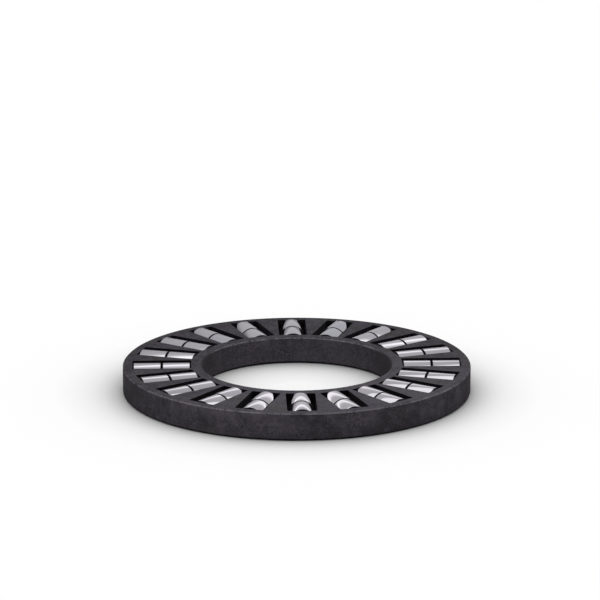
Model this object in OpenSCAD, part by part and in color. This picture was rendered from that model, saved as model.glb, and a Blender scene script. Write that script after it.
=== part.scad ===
// Thrust roller cage assembly: a one-piece ring cage with a ring of radial pockets,
// and a pair of cylindrical rollers snapped into each pocket, end to end.
// The origin is the centre of the bore, midway between the faces. +Z is the bearing's axis,
// and the first pocket lies along +X. All sizes are in millimetres.

/* [Cage ring] */
// Bore of the cage, which passes over the shaft
bore_d = 60; // [55:0.5:80]
// Wall between the bore and the inner ends of the pockets
inner_rim_w = 3.4; // [2:0.1:8]
// Wall between the outer ends of the pockets and the rim, which sets the outer diameter
outer_rim_w = 3.05; // [2:0.05:8]
// Chamfer on the four round edges of the ring
edge_chamfer = 0.35; // [0.1:0.05:0.8]

/* [Rollers] */
// Diameter of a roller
roller_d = 9; // [7.5:0.1:9.6]
// Length of a roller over its end faces
roller_len = 8.75; // [6:0.05:14]
// Radius of the round corner at each end of a roller
roller_corner_r = 0.2; // [0.1:0.05:0.6]
// Height by which a roller stands out of each face of the cage
roller_proud = 0.35; // [0.3:0.05:1]

/* [Pockets] */
// Number of pockets around the ring
pocket_count = 20; // [12:1:21]
// Gap between a roller and the window's straight side walls, at the faces
window_clearance = 0.08; // [0.06:0.01:0.2]
// Gap between a roller's end face and the end wall of its pocket
end_clearance = 0.3; // [0.1:0.05:0.6]
// Gap between the two rollers of a pocket
roller_gap = 0.45; // [0.1:0.05:0.8]
// Radius in the upright corners of a pocket
pocket_corner_r = 0.3; // [0.1:0.05:0.6]

/* [Roller tracks] */
// Running clearance between a roller and the hollow track in each side wall
track_clearance = 0.08; // [0.05:0.01:0.15]
// Reach of the snap lips past the widest part of a roller, on each side
lip_bite = 0.17; // [0.05:0.01:0.3]
// Height of the flat land on the tip of a snap lip
lip_land = 0.4; // [0.2:0.05:0.8]
// Height of the lead-in ramp, over which a roller is pressed in
lip_lead = 0.7; // [0.3:0.05:1]

/* [Hidden] */
$fn = 96;
// Overshoot of a cutting body past the face that it cuts
past_face = 1;
rollers_per_pocket = 2;
pocket_step = 360 / pocket_count;

roller_r = roller_d / 2;
cage_h = roller_d - 2 * roller_proud;

pocket_len = rollers_per_pocket * roller_len + roller_gap + 2 * end_clearance;
window_w = 2 * (roller_r + window_clearance);

// Radii from the axis to the inner end, the middle and the outer end of a pocket
pocket_in_r = bore_d / 2 + inner_rim_w;
pocket_mid_r = pocket_in_r + pocket_len / 2;
pocket_out_r = pocket_in_r + pocket_len;
outer_d = 2 * (pocket_out_r + outer_rim_w);

track_r = roller_r + track_clearance;
lip_half_w = roller_r - lip_bite;
// A track ends where its round wall meets the tip of a lip
lip_start_z = sqrt(track_r * track_r - lip_half_w * lip_half_w);
lip_end_z = lip_start_z + lip_land;
ramp_end_z = lip_end_z + lip_lead;

// Radius from the axis to the middle of the rollers in each ring
roller_step = roller_len + roller_gap;
outer_ring_r = pocket_mid_r + roller_step / 2;
inner_ring_r = pocket_mid_r - roller_step / 2;

function two_digits(n) = str(n < 10 ? "0" : "", n);
outer_names = [for (i = [1 : pocket_count]) str("roller_outer_", two_digits(i))];
inner_names = [for (i = [1 : pocket_count]) str("roller_inner_", two_digits(i))];

// Places its children, which are drawn about a radial X axis, in pocket i of the ring
module in_pocket(i, ring_r) {
    rotate([0, 0, i * pocket_step])
        translate([ring_r, 0, 0])
            children();
}

// Half section of the ring, with its four edges chamfered
module ring_section() {
    bore_r = bore_d / 2;
    outer_r = outer_d / 2;
    face_z = cage_h / 2;
    polygon([
        [bore_r + edge_chamfer, -face_z],
        [outer_r - edge_chamfer, -face_z],
        [outer_r, -face_z + edge_chamfer],
        [outer_r, face_z - edge_chamfer],
        [outer_r - edge_chamfer, face_z],
        [bore_r + edge_chamfer, face_z],
        [bore_r, face_z - edge_chamfer],
        [bore_r, -face_z + edge_chamfer]
    ]);
}

// Section across a pocket: straight walls at the faces, a ramp down to each snap lip, and
// between the lips the round track that wraps the roller's flank
module pocket_section() {
    half_w = window_w / 2;
    top_z = cage_h / 2 + past_face;
    polygon([
        [half_w, top_z],
        [half_w, ramp_end_z],
        [lip_half_w, lip_end_z],
        [lip_half_w, -lip_end_z],
        [half_w, -ramp_end_z],
        [half_w, -top_z],
        [-half_w, -top_z],
        [-half_w, -ramp_end_z],
        [-lip_half_w, -lip_end_z],
        [-lip_half_w, lip_end_z],
        [-half_w, ramp_end_z],
        [-half_w, top_z]
    ]);
    circle(r = track_r);
}

// Plan of a pocket's window: a rectangle with small round corners
module window_plan() {
    corner_x = pocket_len / 2 - pocket_corner_r;
    corner_y = window_w / 2 - pocket_corner_r;
    square([pocket_len, 2 * corner_y], center = true);
    square([2 * corner_x, window_w], center = true);
    for (x = [-corner_x, corner_x], y = [-corner_y, corner_y])
        translate([x, y])
            circle(r = pocket_corner_r);
}

// The space that one pocket takes out of the ring, lying along X
module pocket_space() {
    intersection() {
        rotate([90, 0, 90])
            linear_extrude(height = pocket_len + 2 * past_face, center = true)
                pocket_section();
        linear_extrude(height = cage_h + 4 * past_face, center = true)
            window_plan();
    }
}

// The moulded cage: a chamfered ring with its windows cut right through
module cage() {
    color("#3d3c41")
        difference() {
            rotate_extrude()
                ring_section();
            for (i = [0 : pocket_count - 1])
                in_pocket(i, pocket_mid_r)
                    pocket_space();
        }
}

// A ground roller: flat ends and round corners, lying along X
module roller() {
    barrel_len = roller_len - 2 * roller_corner_r;
    end_r = roller_r - roller_corner_r;
    rotate([0, 90, 0])
        rotate_extrude()
            union() {
                translate([0, -roller_len / 2])
                    square([end_r, roller_len]);
                translate([0, -barrel_len / 2])
                    square([roller_r, barrel_len]);
                for (y = [-barrel_len / 2, barrel_len / 2])
                    translate([end_r, y])
                        circle(r = roller_corner_r);
            }
}

module outer_roller(i) {
    color("#c9cacd")
        in_pocket(i, outer_ring_r)
            roller();
}

module inner_roller(i) {
    color("#c9cacd")
        in_pocket(i, inner_ring_r)
            roller();
}

cage();
for (i = [0 : pocket_count - 1]) {
    outer_roller(i);
    inner_roller(i);
}
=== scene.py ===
import math

import bpy
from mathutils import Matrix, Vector


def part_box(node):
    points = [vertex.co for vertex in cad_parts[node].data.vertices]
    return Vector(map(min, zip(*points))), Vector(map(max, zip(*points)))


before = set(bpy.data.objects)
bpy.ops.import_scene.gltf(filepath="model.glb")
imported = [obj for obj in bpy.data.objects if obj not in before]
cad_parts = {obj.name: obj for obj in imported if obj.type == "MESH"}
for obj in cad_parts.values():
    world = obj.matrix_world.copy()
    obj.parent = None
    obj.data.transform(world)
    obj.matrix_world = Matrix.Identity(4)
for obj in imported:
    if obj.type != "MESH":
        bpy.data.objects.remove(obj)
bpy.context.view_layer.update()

MM = 0.001

# The cage
# One ring of black glass-filled nylon, moulded in one shot with its twenty windows, so it has
# no seam or fastener. The skin is satin, with faint flow clouds and drag marks down the walls from
# the ejection. A highlight is painted along the upper chamfered edges.

cage_radii = [vertex.co.xy.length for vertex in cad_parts["cage"].data.vertices]
RIM_R = max(cage_radii) / MM
BORE_R = min(cage_radii) / MM
HALF_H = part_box("cage")[1].z / MM
CHAMFER = 0.35
# How deep in the ring a wall is still the bore's own, how deep it can only be a window's, and
# the stretch over which a mark fades out past either depth
BORE_DEPTH = 0.5
WINDOW_DEPTH = 1.0
DEPTH_FADE = 0.4
# Painted shade covers the lowest stretch of the walls and edges, and fades out over the next one
FOOT_SHADE_H = 0.15
FOOT_SHADE_FADE = 0.3

NYLON = (0.0198, 0.0172, 0.0207, 1)
NYLON_PALE_WARM = (0.0608, 0.0541, 0.0632, 1)
NYLON_PALE_COOL = (0.0580, 0.0525, 0.0715, 1)
# The colour of the painted shade inside the windows and at the foot of the walls
NYLON_SHADE_BLACK = (0.0018, 0.0009, 0.0028, 1)
# The colour of the highlight painted along the upper edges
EDGE_HIGHLIGHT = (0.1500, 0.1400, 0.1560, 1)
# The tone at which the nylon is blackest, and the one at which it is palest
BLACK_TONE = 0.25
PALE_TONE = 0.80

# Level ways from the centre, along which light is painted: the walls are painted paler where they face
# along the first, the rim's wall is painted paler at a spot along the second, and the faces are
# painted paler towards the third
LIT_WALL_WAY = (0.57, 0.82, 0)
LIT_SPOT_WAY = (-0.44, -0.90, 0)
SHEEN_SIDE = (0.25, -1, 0)


class Wire:
    """A shader socket that can stand in an expression; each operation adds a Math node."""

    def __init__(self, finish, socket):
        self.finish = finish
        self.socket = socket

    def math(self, operation, *others):
        values = dict(enumerate((self, *others)))
        return self.finish.node("ShaderNodeMath", {"operation": operation}, values)

    def __add__(self, other):
        return self.math("ADD", other)

    def __radd__(self, other):
        return self.math("ADD", other)

    def __sub__(self, other):
        return self.math("SUBTRACT", other)

    def __rsub__(self, other):
        return (self * -1) + other

    def __mul__(self, other):
        return self.math("MULTIPLY", other)

    def __rmul__(self, other):
        return self.math("MULTIPLY", other)

    def __truediv__(self, other):
        return self.math("DIVIDE", other)

    def __rtruediv__(self, other):
        return (self * 0 + other) / self

    def __abs__(self):
        return self.math("ABSOLUTE")

    def root(self):
        return self.math("SQRT")

    def between(self, start, end):
        """Runs smoothly from 0 to 1 as the value goes from start to end."""
        ends = {"Value": self, "From Min": start, "From Max": end}
        return self.finish.node("ShaderNodeMapRange", {"interpolation_type": "SMOOTHSTEP"}, ends)


class Finish:
    """A surface finish: a material, and the one method that adds a node to it."""

    def __init__(self, name):
        self.material = bpy.data.materials.new(name)
        self.material.use_nodes = True
        self.tree = self.material.node_tree
        self.tree.nodes.clear()

    def node(self, kind, settings, inputs, output=0):
        made = self.tree.nodes.new(kind)
        for name, value in settings.items():
            setattr(made, name, value)
        for name, value in inputs.items():
            if isinstance(value, Wire):
                self.tree.links.new(value.socket, made.inputs[name])
            else:
                made.inputs[name].default_value = value
        return Wire(self, made.outputs[output])

    def vector(self, operation, inputs, output=0):
        return self.node("ShaderNodeVectorMath", {"operation": operation}, inputs, output)

    def place(self):
        """The point on the surface in millimetres, which rides along with the piece."""
        metres = self.node("ShaderNodeTexCoord", {}, {}, "Object")
        return self.vector("SCALE", {0: metres, "Scale": 1 / MM})

    def stretched(self, place, factors):
        return self.vector("MULTIPLY", {0: place, 1: factors})

    def shifted(self, place, steps):
        return self.vector("ADD", {0: place, 1: steps})

    def towards(self, place, way):
        """How far the point lies along a way from the centre."""
        return self.vector("DOT_PRODUCT", {0: place, 1: way}, "Value")

    def split(self, place):
        return [self.node("ShaderNodeSeparateXYZ", {}, {0: place}, axis) for axis in "XYZ"]

    def joined(self, x, y, z):
        return self.node("ShaderNodeCombineXYZ", {}, {0: x, 1: y, 2: z})

    def noise(self, place, per_mm, detail, roughness=0.5):
        """Noise about 0.5, with its coarsest lumps 1 / per_mm millimetres apart."""
        values = {"Vector": place, "Scale": per_mm, "Detail": detail, "Roughness": roughness}
        return self.node("ShaderNodeTexNoise", {}, values)

    def blend(self, share, first, second):
        """A colour between two, by the share of the second."""
        return self.node("ShaderNodeMix", {"data_type": "RGBA"}, {0: share, 6: first, 7: second}, 2)

    def relief(self, height_mm):
        """The normal of a surface that stands up by height_mm."""
        return self.node("ShaderNodeBump", {}, {"Height": height_mm * MM, "Distance": 1.0})

    def surface(self, **inputs):
        """Closes the finish with its shader; a name such as Base_Color is that socket."""
        values = {name.replace("_", " "): value for name, value in inputs.items()}
        shader = self.node("ShaderNodeBsdfPrincipled", {}, values)
        outlet = self.tree.nodes.new("ShaderNodeOutputMaterial")
        self.tree.links.new(shader.socket, outlet.inputs["Surface"])
        return self.material


nylon = Finish("satin_black_nylon")
at = nylon.place()
x, y, z = nylon.split(at)
from_centre = (x * x + y * y).root()
sideways = abs(x) / from_centre
# The upright part of the normal is 0 on a wall, 0.7 on a chamfered edge and 1 on a flat face
facing = nylon.node("ShaderNodeTexCoord", {}, {}, "Normal")
upright = abs(nylon.node("ShaderNodeSeparateXYZ", {}, {0: facing}, "Z"))
on_wall = 1 - upright.between(0.15, 0.6)
on_flat = upright.between(0.75, 0.95)
on_chamfer = upright.between(0.3, 0.6) * (1 - on_flat)
past_wall = from_centre.between(BORE_R + BORE_DEPTH, BORE_R + BORE_DEPTH + DEPTH_FADE)
in_bore = on_wall * (1 - past_wall)
on_rim = on_wall - in_bore

# All over there are flow clouds and patches, with a fine grain that comes up in places. Here
# and below, the factor of a mark is how far it moves the tone where it is strongest.
clouds = nylon.noise(at, per_mm=0.10, detail=2)
patches = nylon.noise(at, per_mm=0.34, detail=3, roughness=0.8)
grain = nylon.noise(at, per_mm=1.9, detail=2, roughness=0.8)
grained = nylon.noise(nylon.shifted(at, (40, 0, 0)), per_mm=0.13, detail=1).between(0.42, 0.62)
tone = clouds * 0.38 + patches * 0.34 + (grain - 0.5) * (grained * 0.80 + 0.35)

# The faces are more mottled, and painted paler than the walls, the more so towards one side, as a
# painted sheen
towards_sheen = nylon.towards(at, SHEEN_SIDE).between(-0.4 * RIM_R, 0.7 * RIM_R)
face_tone = towards_sheen * 0.18 + (patches - 0.5) * 0.62 + (grain - 0.5) * 0.35 + 0.095
tone = tone + (1 - on_wall) * face_tone

# Both walls have drag marks along the axis, so their noise is stretched that way. The walls are
# painted darker at two opposite sides, as painted shade, and paler where they face one level way, as
# painted light.
drag = nylon.noise(nylon.stretched(at, (0.55, 0.55, 0.10)), per_mm=1.0, detail=2, roughness=0.6)
facing_lit_way = (abs(nylon.towards(at, LIT_WALL_WAY)) / from_centre).between(0.82, 0.94)
at_foot = 1 - z.between(-HALF_H, 0.3 * HALF_H)
# The foot of the rim's wall is painted darker, as painted shade, and one spot at its top is painted
# paler, as painted light
at_spot = (nylon.towards(at, LIT_SPOT_WAY) / from_centre).between(0.965, 0.995)
painted_spot_light = at_spot * z.between(0.2 * HALF_H, 0.8 * HALF_H)
rim_tone = (clouds - 0.5) * 0.22 + (patches - 0.5) * 0.30 - (grain - 0.5) * 0.15 + 0.022
rim_tone = rim_tone + drag * 0.13 + facing_lit_way * 0.08 + painted_spot_light * 0.16
rim_tone = rim_tone - sideways.between(0.85, 1.0) * 0.12 - at_foot * 0.05
tone = tone + on_rim * rim_tone
# The bore's wall is grainier. It is painted paler at its foot, as painted light, and darkest towards
# +X, as painted shade
bore_tone = (grain - 0.5) * 0.45 + drag * 0.13 + facing_lit_way * 0.035 + at_foot * 0.10 + 0.070
bore_tone = bore_tone - sideways.between(0.58, 0.97) * 0.18
bore_tone = bore_tone - (x / from_centre).between(0.90, 0.99) * 0.22
tone = tone + in_bore * bore_tone

# The dye is a little uneven, so the paler nylon runs from warm to cool, but less on the walls
dye = nylon.noise(nylon.shifted(at, (0, 0, 90)), per_mm=0.06, detail=1).between(0.35, 0.65)
pale = nylon.blend(dye * (1 - on_wall * 0.6), NYLON_PALE_WARM, NYLON_PALE_COOL)
skin = nylon.blend(tone.between(BLACK_TONE, PALE_TONE), NYLON, pale)

# The inside of the windows is painted dark right up to the faces, as painted shade
past_bore = from_centre.between(BORE_R + WINDOW_DEPTH, BORE_R + WINDOW_DEPTH + DEPTH_FADE)
near_rim = from_centre.between(RIM_R - WINDOW_DEPTH - DEPTH_FADE, RIM_R - WINDOW_DEPTH)
below_face = 1 - abs(z).between(HALF_H - 0.02, HALF_H - 0.005)
skin = nylon.blend(past_bore * (1 - near_rim) * below_face, skin, NYLON_SHADE_BLACK)

# A highlight is painted along the upper edges, fainter at the sides and stronger at the painted spot
on_top_edge = on_chamfer * z.between(HALF_H - CHAMFER - 0.15, HALF_H - CHAMFER + 0.05)
painted_highlight = on_top_edge * grain.between(0.2, 0.65) * patches.between(0.25, 0.6)
painted_highlight = painted_highlight * (1 - sideways.between(0.8, 0.97) * 0.6 + at_spot * 0.4)
skin = nylon.blend(painted_highlight * 0.8, skin, EDGE_HIGHLIGHT)
# The bore's edge is painted dark at the same two sides as its wall, as painted shade
bore_edge = on_chamfer * (1 - from_centre.between(BORE_R + CHAMFER + 0.01, BORE_R + CHAMFER + 0.07))
skin = nylon.blend(bore_edge * sideways.between(0.84, 0.93) * 0.9, skin, NYLON)
# The lower edges and the very foot of the walls are painted dark, as painted shade
above_foot_shade = z.between(FOOT_SHADE_H - HALF_H, FOOT_SHADE_H + FOOT_SHADE_FADE - HALF_H)
skin = nylon.blend((1 - above_foot_shade) * (1 - on_flat) * 0.8, skin, NYLON_SHADE_BLACK)

cage_finish = nylon.surface(
    Base_Color=skin,
    Roughness=0.86 + on_wall * 0.08 + (clouds - 0.5) * 0.3,
    IOR=1.5,
    Specular_IOR_Level=0.12,
    Normal=nylon.relief(grain * 0.006 + patches * 0.012),
)
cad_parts["cage"].material_slots[0].material = cage_finish

# The rollers
# Forty cylindrical rollers of chrome steel, two end to end in each window. They are turned,
# hardened and ground between wheels, which leaves fine rings around the barrel and a slight fall
# towards its ends. The corners and end faces are painted black, as painted shade of the gaps round
# them.

PAIRS = sum(name.startswith("roller_outer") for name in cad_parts)
outer_low, outer_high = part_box("roller_outer_01")
inner_low, inner_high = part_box("roller_inner_01")
ROLLER_LEN = (outer_high.x - outer_low.x) / MM
HALF_LEN = ROLLER_LEN / 2
CORNER_R = 0.2
PAIR_MIDDLE = (outer_high.x + inner_low.x) / 2 / MM
ROLLER_MIDDLE = (outer_low.x + outer_high.x) / 2 / MM - PAIR_MIDDLE
# The barrel's slope at its very ends
END_SLOPE = math.tan(math.radians(5.24))

STEEL = (0.411, 0.394, 0.425, 1)
STEEL_BRIGHT = (0.456, 0.439, 0.470, 1)
STEEL_COOL = (0.401, 0.404, 0.444, 1)
STEEL_AT_GRAZING = (0.870, 0.855, 0.885, 1)
# The colour of the painted shade on the rollers' corners and end faces
GAP_SHADE_BLACK = (0.010, 0.009, 0.011, 1)
TINT_SEED = 27337

steel = Finish("ground_chrome_steel")
at = steel.place()
x, y, z = steel.split(at)
# Which pair the point belongs to, and how far it lies along that pair's axis and across it
pair = y.math("ARCTAN2", x) * (PAIRS / math.tau)
pair = pair.math("ROUND").math("FLOORED_MODULO", PAIRS)
turn = pair * (math.tau / PAIRS)
east = turn.math("COSINE")
north = turn.math("SINE")
along = x * east + y * north - PAIR_MIDDLE
across = y * east - x * north
# Along the roller from its own middle, the same for both rollers of a pair
lengthwise = abs(along) - ROLLER_MIDDLE
from_axis = (across * across + z * z).root()
on_face = abs(lengthwise).between(HALF_LEN - 0.05, HALF_LEN - 0.01)
on_end = abs(lengthwise).between(HALF_LEN - CORNER_R - 0.05, HALF_LEN - CORNER_R + 0.02)

barrel_rings = steel.noise(steel.joined(lengthwise, pair, 0.0), per_mm=9.0, detail=2, roughness=0.7)
face_rings = steel.noise(steel.joined(from_axis, pair, 7.0), per_mm=7.0, detail=2, roughness=0.6)
rings = barrel_rings + on_face * (face_rings - barrel_rings)
smudge = steel.noise(at, per_mm=0.35, detail=2)
one_roller = steel.joined(pair, along.math("SIGN"), TINT_SEED)
each = steel.node("ShaderNodeTexWhiteNoise", {"noise_dimensions": "3D"}, {"Vector": one_roller})
shade = steel.blend(rings * 0.5 + smudge * 0.3 + each * 0.2, STEEL, STEEL_BRIGHT)
# A few rollers come from another batch of steel, and look a little cooler
shade = steel.blend(each.between(0.68, 0.92), shade, STEEL_COOL)
# The corners and end faces are painted black, dull and not metal: painted shade of the gaps between
# the rollers and the window walls
shade = steel.blend(on_end, shade, GAP_SHADE_BLACK)
fall = lengthwise * lengthwise * (-END_SLOPE / ROLLER_LEN)
roller_finish = steel.surface(
    Base_Color=shade,
    Metallic=1 - on_end,
    Roughness=0.03 + rings * 0.03 + smudge * 0.03 + on_end * 0.50,
    Specular_IOR_Level=0.05,
    Specular_Tint=STEEL_AT_GRAZING,
    Normal=steel.relief(fall + rings * 0.0001),
)
for name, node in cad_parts.items():
    if name.startswith("roller"):
        node.material_slots[0].material = roller_finish

# The studio
# A white sheet under an even white sky, so that a colour shows about as it is written. Over the
# bearing hang a grey cloth, a white panel and two strip lights, which only show in what mirrors
# them: they draw the bands along the polished rollers.

FLOOR_Z = outer_low.z
FLOOR_SIDE = 8.0
SHADE_REACH = 22 * MM
SHADE_DEPTH = 0.70
CONTACT_REACH = 1.8 * MM
CONTACT_DEPTH = 0.24
SHADE_RAYS = 16


def flat_piece(name, width, depth):
    """A level rectangle about its own origin."""
    right = width / 2
    back = depth / 2
    corners = [(-right, -back, 0), (right, -back, 0), (right, back, 0), (-right, back, 0)]
    mesh = bpy.data.meshes.new(name)
    mesh.from_pydata(corners, [], [range(len(corners))])
    piece = bpy.data.objects.new(name, mesh)
    bpy.context.scene.collection.objects.link(piece)
    return piece


floor = flat_piece("floor", FLOOR_SIDE, FLOOR_SIDE)
floor.location.z = FLOOR_Z
paper = Finish("white_paper")


def open_share(reach):
    """How much of the sky the sheet sees past what stands within reach, from 0 to 1."""
    return paper.node("ShaderNodeAmbientOcclusion", {"samples": SHADE_RAYS}, {"Distance": reach}, "AO")


# The bearing shades the sheet close round it a little more than the even sky alone would
white = open_share(SHADE_REACH).math("POWER", SHADE_DEPTH)
white = white * open_share(CONTACT_REACH).math("POWER", CONTACT_DEPTH)
floor.data.materials.append(paper.surface(Base_Color=white, Roughness=1.0, Specular_IOR_Level=0.0))

LIGHT_Z = 28.0
# A soft edge has faded out at this many times its softness
FADED_OUT = 6


def hung(name, centre, length, width, soft, brightness, turn=0, lift=0, taper=0, bow=0, ends=0):
    """
    A flat thing that only shows in mirrors, hung level over the bearing, with sizes in
    millimetres. Its edges are soft, and lift puts it above the lights. At both ends it is
    narrower by the share taper, bends aside by bow, and is brighter by the share ends.
    """
    margin = FADED_OUT * soft
    piece = flat_piece(name, (length + 2 * margin) * MM, (width + 2 * margin) * MM)
    piece.location = (centre[0] * MM, centre[1] * MM, (LIGHT_Z + lift) * MM)
    piece.rotation_euler.z = math.radians(turn)
    glow = Finish(name)
    u, v, _ = glow.split(glow.place())
    endwards = abs(u) / (length / 2)
    aside = abs(v - endwards * endwards * bow)
    past_side = ((aside - (1 - endwards * taper) * (width / 2)) / soft).math("EXPONENT")
    past_end = ((abs(u) - length / 2) / soft).math("EXPONENT")
    glowing = glow.surface(
        Base_Color=(0, 0, 0, 1),
        Roughness=1.0,
        Specular_IOR_Level=0.0,
        Emission_Color=1 + endwards * endwards * ends,
        Emission_Strength=brightness,
        Alpha=1 / ((1 + past_side) * (1 + past_end)),
    )
    piece.data.materials.append(glowing)
    piece.visible_camera = False
    piece.visible_diffuse = False
    piece.visible_transmission = False
    piece.visible_shadow = False


hung("grey_cloth", centre=(0, 0), length=1600, width=1600, soft=20, brightness=0.365, lift=0.8)
hung(
    "white_panel", centre=(26.3, 95.6), length=146.2, width=267.4, soft=7.5, brightness=0.85,
    turn=-16.8, lift=0.4,
)
hung(
    "strip_light_behind", centre=(4.9, 31.4), length=146.0, width=36.3, soft=2.8, brightness=1.82,
    turn=18.3, taper=1.095, bow=-4.42, ends=1.1,
)
hung(
    "strip_light_in_front", centre=(17.5, -22.9), length=91.0, width=22.0, soft=0.43, brightness=1.80,
    turn=18.1, bow=3.29, ends=0.09,
)

world = bpy.data.worlds.new("studio_sky")
world.use_nodes = True
bpy.context.scene.world = world
sky = world.node_tree.nodes["Background"]
sky.inputs["Color"].default_value = (1, 1, 1, 1)
sky.inputs["Strength"].default_value = 1.0

# The camera
# A long lens about a metre away, that looks fifteen degrees down and two degrees to the right.

LENS = 202.38
SENSOR_W = 36.0
STANDPOINT = Vector((-34.757, -1025.11, 299.575))
LOOK_DOWN = 14.9942
LOOK_RIGHT = 2.0
FARTHEST_SIGHT = 20.0

camera_data = bpy.data.cameras.new("camera")
camera_data.sensor_width = SENSOR_W
camera_data.lens = LENS
camera_data.clip_end = FARTHEST_SIGHT
camera = bpy.data.objects.new("camera", camera_data)
bpy.context.scene.collection.objects.link(camera)
camera.location = STANDPOINT * MM
camera.rotation_euler = (math.radians(90 - LOOK_DOWN), 0, math.radians(-LOOK_RIGHT))
bpy.context.scene.camera = camera
bpy.context.scene.view_settings.view_transform = "Standard"
